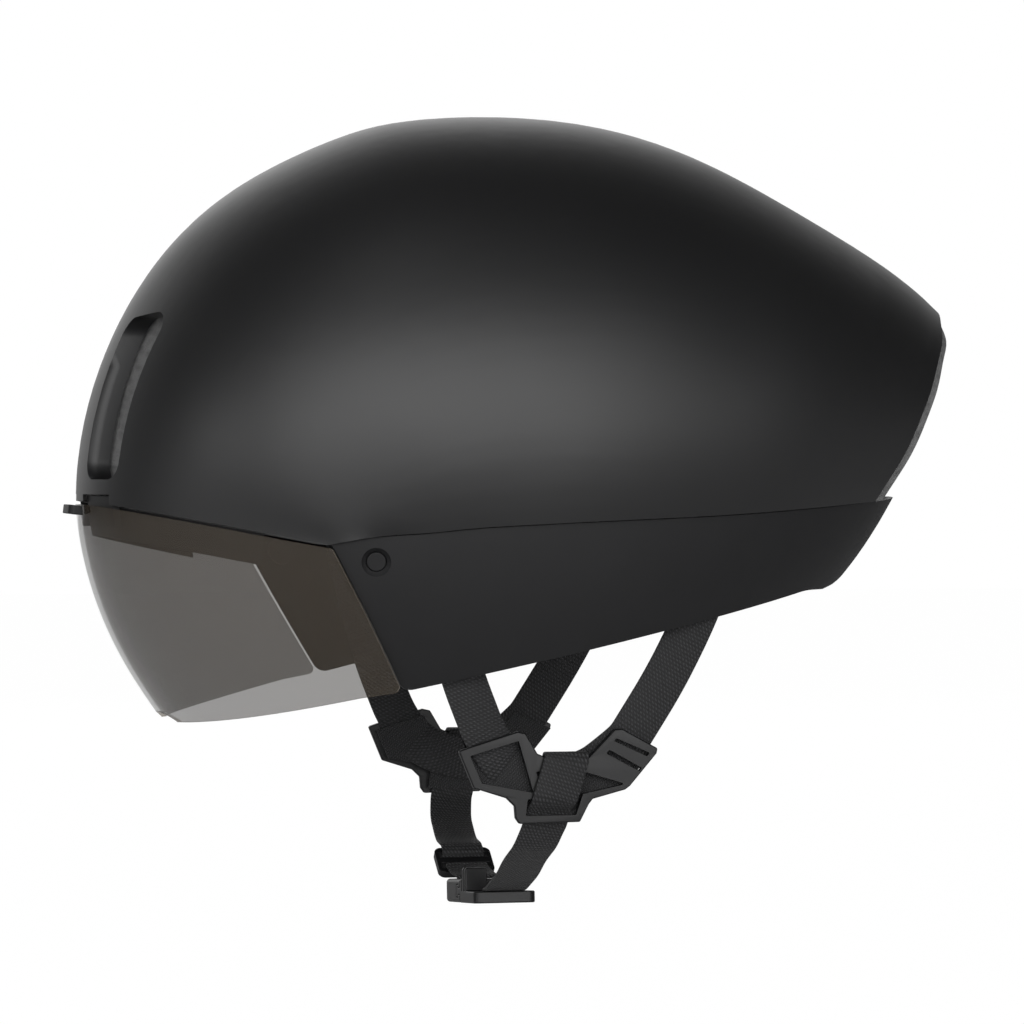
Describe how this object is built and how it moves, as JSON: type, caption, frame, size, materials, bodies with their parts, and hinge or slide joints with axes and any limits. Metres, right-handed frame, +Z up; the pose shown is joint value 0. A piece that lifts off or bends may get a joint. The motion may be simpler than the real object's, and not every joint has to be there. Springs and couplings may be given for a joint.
{
  "type": "aero time trial helmet",
  "caption": "Aero time trial helmet: smooth tailed hood, wrap-round magnetic visor, ear skirt, foam liner, dial-and-rack fit system, webbing harness and side-release magnetic buckle.",
  "frame": {"origin": "centre of the head opening at brow height, where the helmet sits on the wearer's head", "axes": "-X towards the nose of the helmet and +X along its tail, +Z up to the crown, -Y to the wearer's left"},
  "size_m": [0.316, 0.2146, 0.2836],
  "materials": {
    "shell": "satin",
    "skirt": "satin",
    "foam": "matte",
    "lens": "polished",
    "tab": "matte",
    "trim": "matte",
    "hardware": "satin",
    "dial": "satin",
    "magnet": "satin",
    "screw": "satin",
    "pad": "matte",
    "webbing": "matte"
  },
  "bodies": {
    "helmet": {"upper_shell": "shell", "liner": "foam", "lower_shell": "skirt", "visor_seat": "trim", "seat_magnets": "magnet", "park_pin_left": "magnet", "park_pin_right": "magnet", "brow_pad": "pad", "crown_pad_left": "pad", "crown_pad_right": "pad", "side_pad_left": "pad", "side_pad_right": "pad", "cradle_hanger": "trim", "nape_cradle": "trim", "nape_pad": "pad", "dial_housing": "trim", "housing_screws": "screw", "band_guide_left": "trim", "band_guide_right": "trim", "front_anchor_left": "trim", "front_anchor_right": "trim", "rear_anchor_left": "trim", "rear_anchor_right": "trim", "side_webbing_left": "webbing", "side_webbing_right": "webbing", "strap_divider_left": "hardware", "strap_divider_right": "hardware", "chin_webbing_left": "webbing", "chin_webbing_right": "webbing", "chin_adjuster": "hardware", "chin_link": "webbing", "buckle_body": "hardware", "buckle_magnet": "magnet"},
    "visor": {"visor_lens": "lens", "visor_grip_tab": "tab", "visor_clip_left": "trim", "visor_clip_right": "trim", "visor_magnets": "magnet"},
    "dial": {"fit_dial": "dial", "fit_pinion": "dial"},
    "left_band": {"fit_band_left": "trim"},
    "right_band": {"fit_band_right": "trim"},
    "tongue": {"buckle_tongue": "hardware"}
  },
  "joints": [
    {"name": "visor_release", "type": "slide", "parent": "helmet", "child": "visor", "axis": [-1, 0, 0], "range_m": [0, 0.13]},
    {"name": "dial_turn", "type": "hinge", "parent": "helmet", "child": "dial", "pos_m": [0.108, 0, -0.018], "axis": [1, 0, 0], "range_deg": [-150, 150]},
    {"name": "left_band_slide", "type": "hinge", "parent": "helmet", "child": "left_band", "pos_m": [0.03, 0, 0], "axis": [0, 0, 1], "range_deg": [-10, 10]},
    {"name": "right_band_slide", "type": "hinge", "parent": "helmet", "child": "right_band", "pos_m": [0.03, 0, 0], "axis": [0, 0, 1], "range_deg": [-10, 10]},
    {"name": "buckle_release", "type": "slide", "parent": "helmet", "child": "tongue", "axis": [-1, 0, 0], "range_m": [0, 0.026], "deforming": ["chin_webbing_left"]}
  ],
  "couplings": [
    {"joint": "left_band_slide", "follows": "dial_turn", "ratio": -0.06545},
    {"joint": "right_band_slide", "follows": "dial_turn", "ratio": 0.06418}
  ]
}
